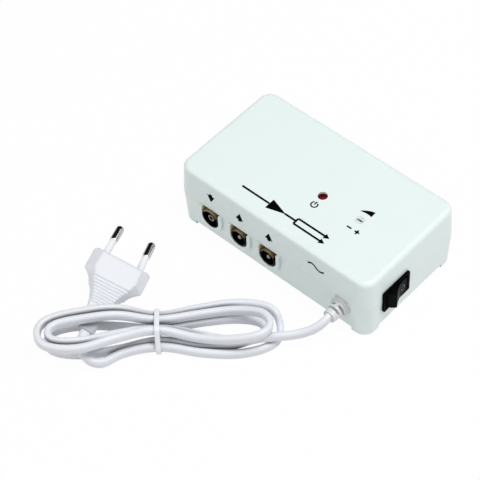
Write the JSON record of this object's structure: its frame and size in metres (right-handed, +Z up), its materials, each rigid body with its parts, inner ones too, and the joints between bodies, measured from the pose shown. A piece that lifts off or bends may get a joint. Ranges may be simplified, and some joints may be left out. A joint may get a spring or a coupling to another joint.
{
  "type": "tv signal amplifier",
  "caption": "Mains-powered aerial signal amplifier: white box with coaxial sockets, rocker switch, gain control and power lamp, its lead tied in a hank with a flat plug.",
  "frame": {"origin": "on the table, under the middle of the case", "axes": "+X along the case towards the rocker switch, +Y from the socket side to the back, +Z up"},
  "size_m": [0.1377, 0.1815, 0.04],
  "materials": {
    "case_white": "smooth white moulded plastic with a soft sheen",
    "board_brown": "brown phenolic board",
    "screw_steel": "zinc-plated steel",
    "socket_metal": "nickel-plated brass, slightly warm",
    "insulator_black": "black moulded insulator",
    "contact_brass": "bare brass",
    "pin_metal": "bright nickel plating",
    "lamp_red": "dark red tinted lens",
    "tinned_wire": "tinned wire",
    "control_plastic": "dark moulded plastic",
    "shaft_plastic": "pale moulded plastic",
    "switch_black": "black moulded plastic with a soft sheen",
    "core_steel": "varnished steel laminations",
    "bobbin_plastic": "pale moulded plastic",
    "winding_tape": "yellow winding tape",
    "can_blue": "dark blue sleeve",
    "moulding_black": "black epoxy",
    "ferrite_grey": "grey ferrite",
    "disc_orange": "orange dipped coating",
    "wire_brown": "brown insulation",
    "wire_blue": "blue insulation",
    "lead_white": "white flexible plastic",
    "tie_white": "white coated tie",
    "sleeve_white": "white pin sleeve"
  },
  "bodies": {
    "case": {"upper_shell": "case_white", "lower_shell": "case_white", "circuit_board": "board_brown", "case_screw_1": "screw_steel", "case_screw_2": "screw_steel", "case_screw_3": "screw_steel", "case_screw_4": "screw_steel", "board_screw_1": "screw_steel", "board_screw_2": "screw_steel", "board_screw_3": "screw_steel", "board_screw_4": "screw_steel", "input_shell": "socket_metal", "output_shell_1": "socket_metal", "output_shell_2": "socket_metal", "input_insulator": "insulator_black", "output_insulator_1": "insulator_black", "output_insulator_2": "insulator_black", "input_contact": "contact_brass", "switch_blade_1": "contact_brass", "switch_blade_2": "contact_brass", "output_pin_1": "pin_metal", "output_pin_2": "pin_metal", "plug_pin_1": "pin_metal", "plug_pin_2": "pin_metal", "power_lamp": "lamp_red", "lamp_leads": "tinned_wire", "gain_pot": "control_plastic", "switch_frame": "switch_black", "transformer_core": "core_steel", "transformer_bobbin": "bobbin_plastic", "transformer_winding": "winding_tape", "reservoir_capacitor": "can_blue", "filter_capacitor": "can_blue", "voltage_regulator": "moulding_black", "rectifier_diode_1": "moulding_black", "rectifier_diode_2": "moulding_black", "rectifier_diode_3": "moulding_black", "rectifier_diode_4": "moulding_black", "amplifier_transistor_1": "moulding_black", "amplifier_transistor_2": "moulding_black", "splitter_core": "ferrite_grey", "disc_capacitor_1": "disc_orange", "disc_capacitor_2": "disc_orange", "live_wire": "wire_brown", "switched_wire": "wire_brown", "neutral_wire": "wire_blue", "strain_relief": "lead_white", "lead_stretch": "lead_white", "lead_hank": "lead_white", "plug_stretch": "lead_white", "plug_body": "lead_white", "hank_tie": "tie_white", "pin_sleeve_1": "sleeve_white", "pin_sleeve_2": "sleeve_white"},
    "rocker": {"switch_rocker": "switch_black"},
    "shaft": {"gain_shaft": "shaft_plastic"}
  },
  "joints": [
    {"name": "rocker_tilt", "type": "hinge", "parent": "case", "child": "rocker", "pos_m": [0.0595, -0.0133, 0.0193], "axis": [0, 0, 1], "range_deg": [-32, 0]},
    {"name": "gain_turn", "type": "hinge", "parent": "case", "child": "shaft", "pos_m": [0.0308, -0.0036, 0.02], "axis": [0, 0, 1], "range_deg": [-135, 135]}
  ]
}
